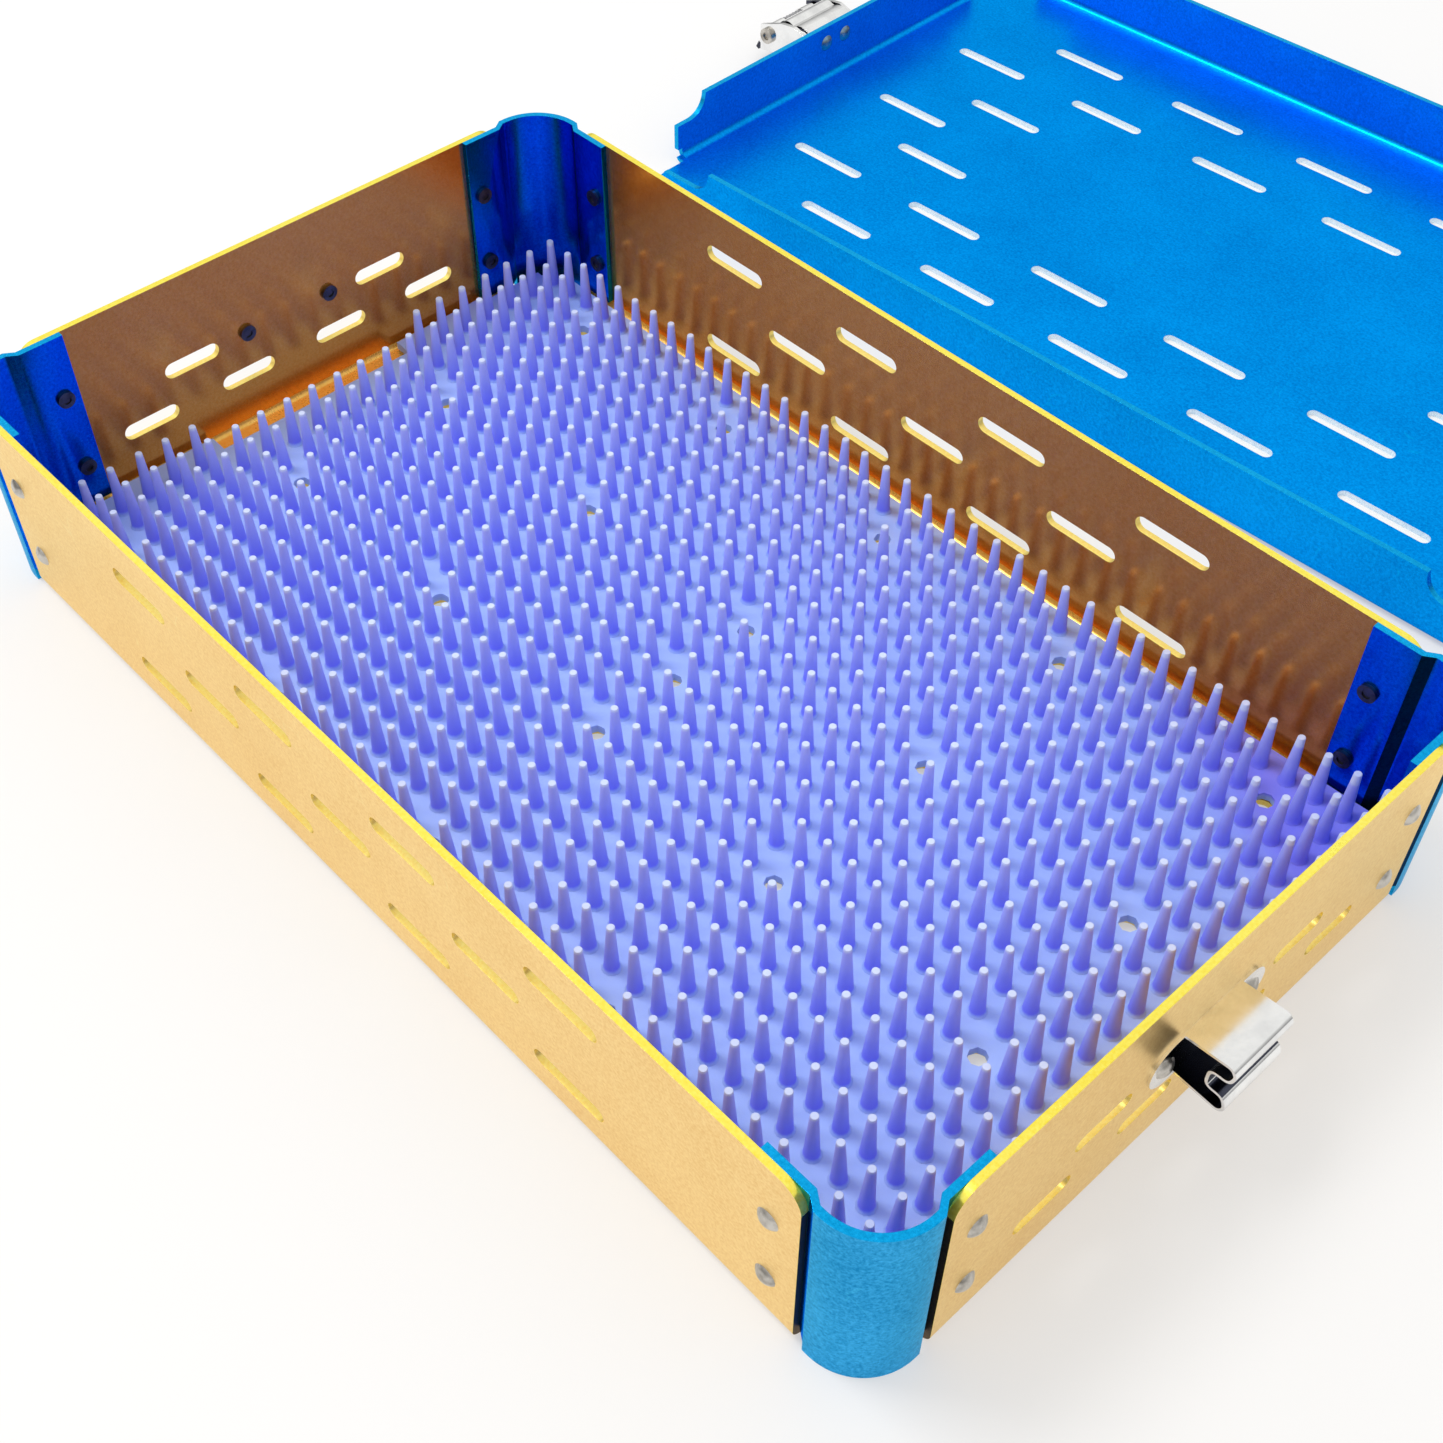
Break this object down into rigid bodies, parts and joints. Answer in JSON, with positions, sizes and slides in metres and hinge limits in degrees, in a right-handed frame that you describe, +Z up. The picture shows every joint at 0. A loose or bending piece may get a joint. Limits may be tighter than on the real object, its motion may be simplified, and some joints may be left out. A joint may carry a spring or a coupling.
{
  "type": "dental instrument cassette",
  "caption": "Perforated sterilising cassette: gold folded tray with blue corner posts and a silicone finger mat, and its blue lid with spring claws lying upside down behind it.",
  "frame": {"origin": "middle of the tray's underside, on the surface that the tray stands on", "axes": "+Z up, +X along the tray's long side, +Y across the tray towards the lid that lies beside it"},
  "size_m": [0.3224, 0.3809, 0.048],
  "materials": {
    "gold_anodised": "gold anodised, satin",
    "blue_anodised": "blue anodised, satin",
    "silicone": "soft matt silicone",
    "chrome": "polished stainless sheet",
    "rivet_metal": "bright plain rivets",
    "spring_steel": "drawn wire"
  },
  "bodies": {
    "tray_group": {"tray": "gold_anodised", "post_front_left": "blue_anodised", "post_front_right": "blue_anodised", "post_back_left": "blue_anodised", "post_back_right": "blue_anodised", "rivets_front_left": "rivet_metal", "rivets_front_right": "rivet_metal", "rivets_back_left": "rivet_metal", "rivets_back_right": "rivet_metal", "keeper_left": "chrome", "keeper_right": "chrome", "keeper_rivets_left": "rivet_metal", "keeper_rivets_right": "rivet_metal"},
    "mat": {"finger_mat": "silicone"},
    "lid_group": {"lid": "blue_anodised", "latch_bracket_left": "chrome", "latch_bracket_right": "chrome", "latch_rivets_left": "rivet_metal", "latch_rivets_right": "rivet_metal", "latch_pin_left": "rivet_metal", "latch_pin_right": "rivet_metal", "claw_spring_left": "spring_steel", "claw_spring_right": "spring_steel"},
    "lever_left": {"claw_lever_left": "chrome"},
    "lever_right": {"claw_lever_right": "chrome"}
  },
  "joints": [
    {"name": "mat_lift", "type": "slide", "parent": "tray_group", "child": "mat", "axis": [0, 0, 1], "range_m": [0, 0.06]},
    {"name": "lid_lift", "type": "slide", "parent": "tray_group", "child": "lid_group", "axis": [0, 0, 1], "range_m": [0, 0.12]},
    {"name": "claw_left", "type": "hinge", "parent": "lid_group", "child": "lever_left", "pos_m": [-0.16914, 0.20256, 0.0107], "axis": [0.0462, -0.9989, 0], "range_deg": [0, 75], "stiffness_Nm_per_rad": 0.06},
    {"name": "claw_right", "type": "hinge", "parent": "lid_group", "child": "lever_right", "pos_m": [0.13933, 0.21684, 0.0107], "axis": [-0.0462, 0.9989, 0], "range_deg": [0, 75], "stiffness_Nm_per_rad": 0.06}
  ]
}
